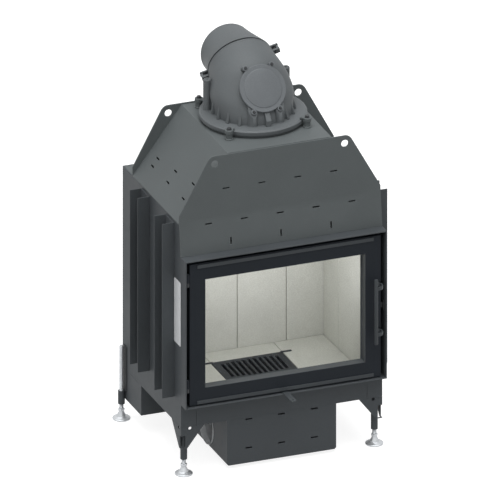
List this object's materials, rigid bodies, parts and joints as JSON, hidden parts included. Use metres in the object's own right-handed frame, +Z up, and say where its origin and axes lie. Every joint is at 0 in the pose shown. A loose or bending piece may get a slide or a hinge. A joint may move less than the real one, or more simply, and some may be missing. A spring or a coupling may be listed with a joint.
{
  "type": "fireplace insert",
  "caption": "Steel fireplace insert with a hinged glass door in a deep surround, sloped hood, cast flue dome and screw feet.",
  "frame": {"origin": "floor level under the middle of the insert's bounding box", "axes": "+Z up, +Y from the door towards the back, +X to the right as seen from the door"},
  "size_m": [0.792, 0.656, 1.3825],
  "materials": {
    "body_paint": "matt grey heat-proof paint",
    "hood_paint": "matt grey heat-proof paint",
    "door_paint": "matt black heat-proof paint",
    "trim_paint": "satin grey paint",
    "cast_paint": "painted casting, light grey",
    "brick": "pale vermiculite and fireclay boards",
    "iron": "bare dark cast iron",
    "dark_steel": "dark steel",
    "zinc": "zinc plated steel",
    "aluminium": "blank satin plate",
    "glass": "clear glass ceramic",
    "seal": "black glass-fibre rope and tape"
  },
  "bodies": {
    "insert": {"left_side_wall": "body_paint", "right_side_wall": "body_paint", "back_wall": "body_paint", "firebox_back": "body_paint", "bottom_plate": "body_paint", "front_apron": "body_paint", "door_surround": "body_paint", "door_seat": "body_paint", "front_air_box": "body_paint", "rear_air_box": "body_paint", "left_convection_fins": "body_paint", "right_convection_fins": "body_paint", "front_leg_brackets": "body_paint", "leg_sleeves": "body_paint", "rear_top_cover": "hood_paint", "hood_shell": "hood_paint", "hood_front_plate": "hood_paint", "hood_rear_plate": "hood_paint", "flue_collar": "hood_paint", "dome_clamps": "hood_paint", "back_firebricks": "brick", "side_firebricks": "brick", "floor_firebricks": "brick", "smoke_baffle": "brick", "throat_plate": "dark_steel", "hearth_frame": "dark_steel", "rear_leg_brackets": "dark_steel", "hinge_pins": "dark_steel", "latch_keeper": "dark_steel", "air_spigot": "zinc", "type_plate": "aluminium"},
    "door": {"door_frame": "door_paint", "door_strips": "trim_paint", "window_glass": "glass", "glass_gasket": "seal", "door_back_plate": "dark_steel", "door_rope_seal": "seal", "door_knuckles": "door_paint", "latch_bearings": "dark_steel"},
    "handle": {"handle_bar": "trim_paint", "handle_arms": "trim_paint", "latch_shaft": "zinc", "latch_cam": "dark_steel"},
    "air_control": {"air_lever": "body_paint", "lever_shaft": "zinc", "air_damper": "zinc"},
    "grate": {"grate": "iron"},
    "ash_pan": {"ash_pan": "zinc"},
    "dome": {"flue_dome": "cast_paint", "inspection_cover": "cast_paint", "cover_screws": "dark_steel", "outlet_clamps": "cast_paint"},
    "outlet": {"flue_outlet": "cast_paint"},
    "foot_front_left": {"foot_front_left": "zinc"},
    "foot_front_right": {"foot_front_right": "zinc"},
    "foot_rear_left": {"foot_rear_left": "zinc"},
    "foot_rear_right": {"foot_rear_right": "zinc"}
  },
  "joints": [
    {"name": "door_swing", "type": "hinge", "parent": "insert", "child": "door", "pos_m": [-0.343, -0.244, 0.52], "axis": [0, 0, -1], "range_deg": [0, 100]},
    {"name": "handle_turn", "type": "hinge", "parent": "door", "child": "handle", "pos_m": [0.322, -0.232, 0.5165], "axis": [0, 0, 1], "range_deg": [0, 25]},
    {"name": "air_lever_swing", "type": "hinge", "parent": "insert", "child": "air_control", "pos_m": [0, -0.189, 0.2645], "axis": [0, 0, 1], "range_deg": [-25, 25]},
    {"name": "grate_lift", "type": "slide", "parent": "insert", "child": "grate", "axis": [0, 0, 1], "range_m": [0, 0.25]},
    {"name": "ash_pan_lift", "type": "slide", "parent": "insert", "child": "ash_pan", "axis": [0, 0, 1], "range_m": [0, 0.2]},
    {"name": "dome_turn", "type": "hinge", "parent": "insert", "child": "dome", "pos_m": [0, 0.047, 1.1383], "axis": [0, 0, 1], "continuous": true},
    {"name": "outlet_turn", "type": "hinge", "parent": "dome", "child": "outlet", "pos_m": [0, 0.16414, 1.27677], "axis": [0, 0.9239, 0.3827], "continuous": true},
    {"name": "foot_front_left_screw", "type": "slide", "parent": "insert", "child": "foot_front_left", "axis": [0, 0, 1], "range_m": [-0.03, 0]},
    {"name": "foot_front_right_screw", "type": "slide", "parent": "insert", "child": "foot_front_right", "axis": [0, 0, 1], "range_m": [-0.03, 0]},
    {"name": "foot_rear_left_screw", "type": "slide", "parent": "insert", "child": "foot_rear_left", "axis": [0, 0, 1], "range_m": [-0.03, 0]},
    {"name": "foot_rear_right_screw", "type": "slide", "parent": "insert", "child": "foot_rear_right", "axis": [0, 0, 1], "range_m": [-0.03, 0]}
  ],
  "couplings": [
    {"joint": "ash_pan_lift", "follows": "grate_lift", "ratio": 0.8}
  ]
}
